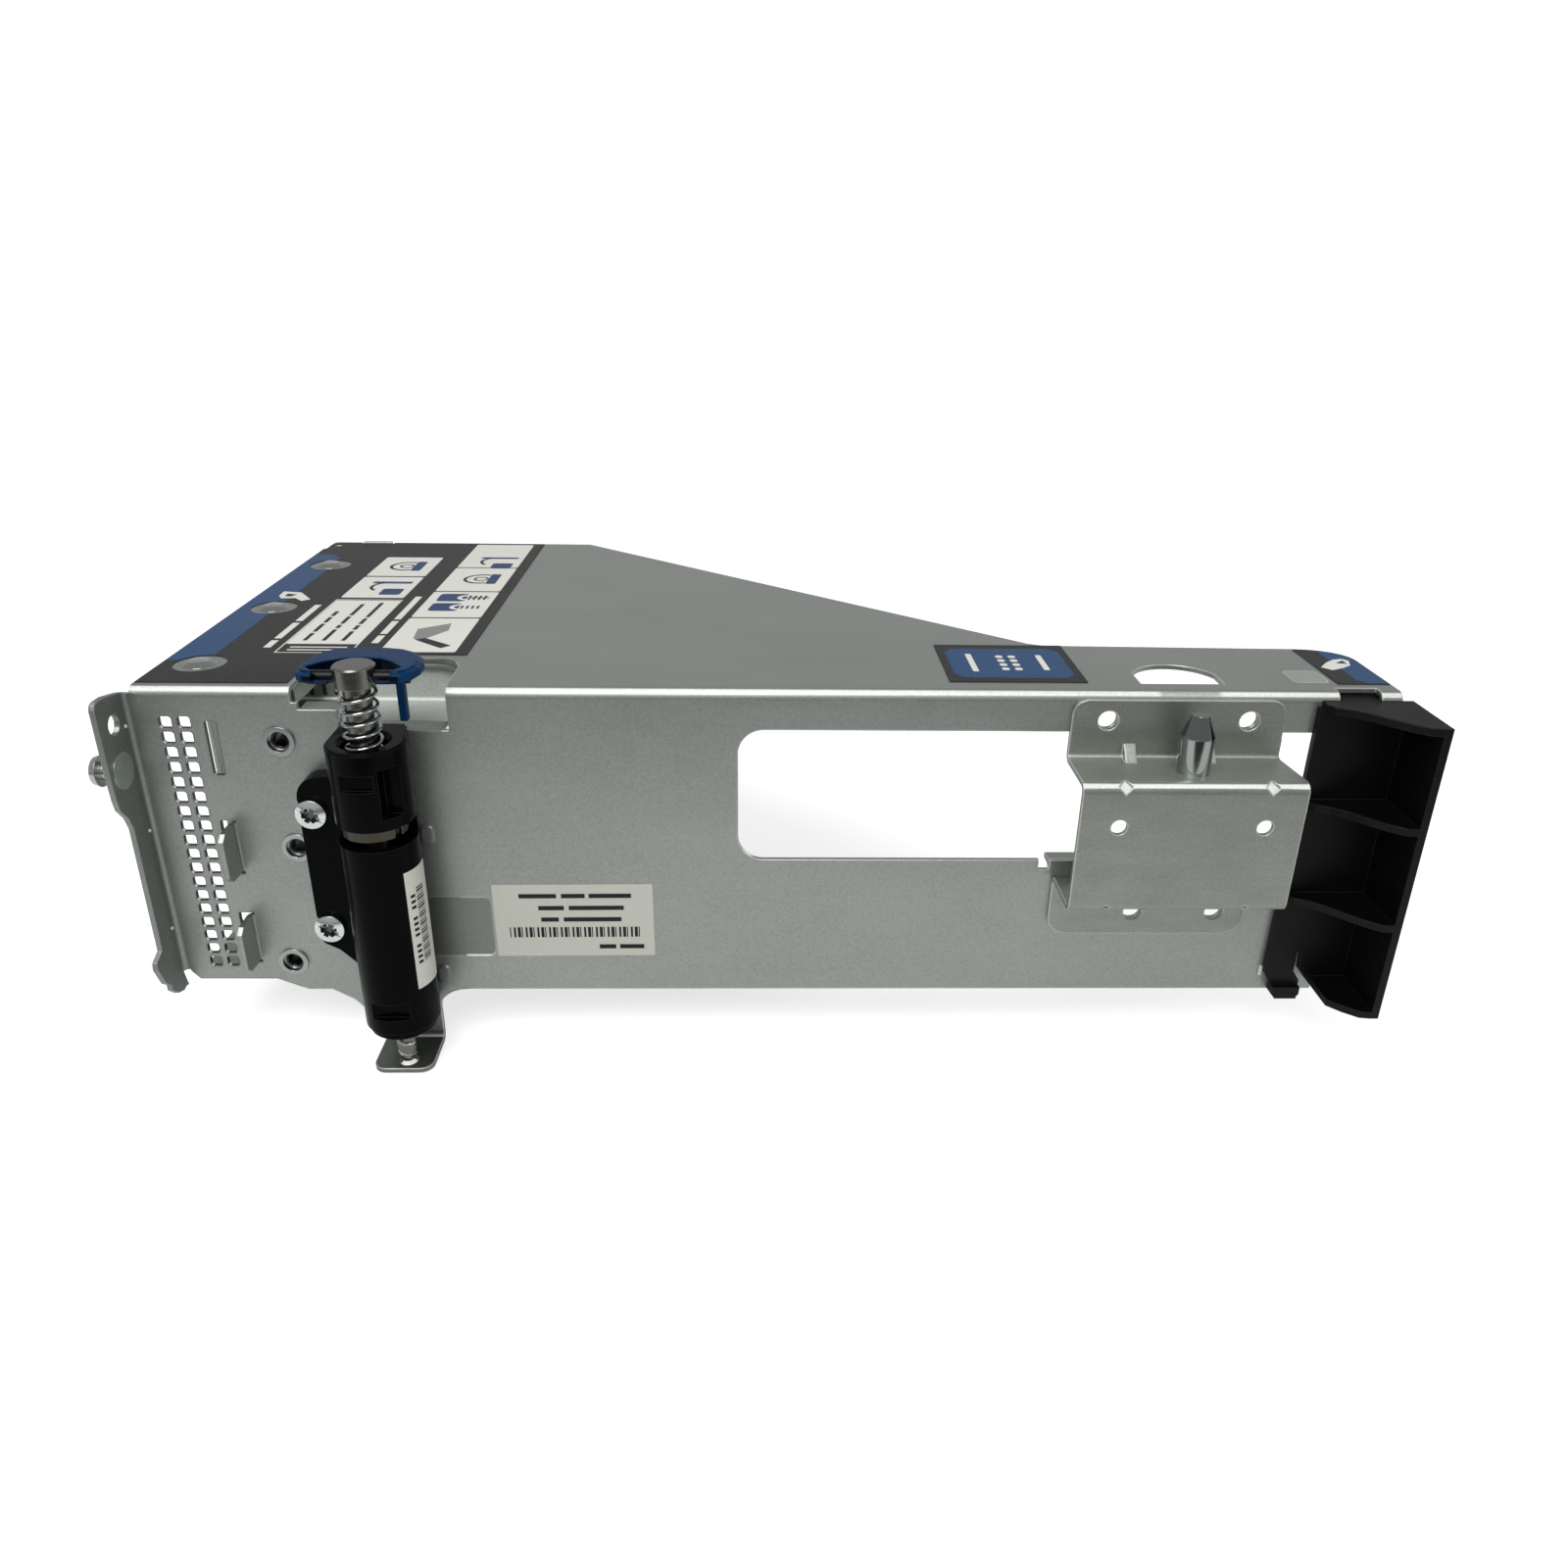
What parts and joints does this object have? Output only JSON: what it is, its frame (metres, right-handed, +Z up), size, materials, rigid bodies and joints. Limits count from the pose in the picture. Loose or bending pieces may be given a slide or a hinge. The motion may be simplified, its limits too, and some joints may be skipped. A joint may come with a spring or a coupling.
{
  "type": "riser cage bracket",
  "caption": "Folded steel server cage side and roof with card slots, vents, a window and a guide pin bracket, held by a spring latch with a blue fold-up handle.",
  "frame": {"origin": "seat of the guide pin on its bracket's shelf, on the pin's axis", "axes": "+Z up along the guide pin, +X along the roof fold towards the card-end guide, +Y into the cage"},
  "size_m": [0.2495, 0.134, 0.0875],
  "materials": {
    "galvanised_sheet": "satin",
    "zinc_hardware": "satin",
    "polished_pin": "polished",
    "black_moulding": "satin",
    "latch_steel": "satin",
    "clip_steel": "satin",
    "spring_wire": "bright",
    "blue_moulding": "semi-gloss",
    "dark_print": "satin film",
    "blue_print": "satin film",
    "white_print": "satin film"
  },
  "bodies": {
    "cage": {"cage_shell": "galvanised_sheet", "rear_slot_frame": "galvanised_sheet", "frame_rivets": "zinc_hardware", "board_standoff_upper": "zinc_hardware", "board_standoff_middle": "zinc_hardware", "board_standoff_lower": "zinc_hardware", "flange_stud": "zinc_hardware", "pin_bracket": "galvanised_sheet", "notch_backplate": "galvanised_sheet", "guide_pin": "polished_pin", "card_end_guide": "black_moulding", "latch_housing": "black_moulding", "housing_screw_upper": "zinc_hardware", "housing_screw_lower": "zinc_hardware", "latch_spring": "spring_wire", "instruction_label": "dark_print", "press_label": "blue_print", "end_label": "blue_print", "wall_label": "white_print", "latch_label": "white_print"},
    "plunger": {"latch_collar": "latch_steel"},
    "spindle": {"latch_shaft": "latch_steel", "latch_button": "latch_steel", "shaft_clip": "clip_steel", "handle_bar": "clip_steel"},
    "handle": {"latch_handle": "blue_moulding"}
  },
  "joints": [
    {"name": "latch_press", "type": "slide", "parent": "cage", "child": "plunger", "axis": [0, 0, -1], "range_m": [0, 0.0012], "stiffness_N_per_m": 700, "springref_m": -0.005, "deforming": ["latch_spring"]},
    {"name": "latch_turn", "type": "hinge", "parent": "plunger", "child": "spindle", "pos_m": [-0.1543, -0.0008, 0.0182], "axis": [0, 0, 1], "range_deg": [0, 180]},
    {"name": "handle_fold", "type": "hinge", "parent": "spindle", "child": "handle", "pos_m": [-0.1543, -0.0008, 0.0182], "axis": [1, 0, 0], "range_deg": [0, 90]}
  ]
}
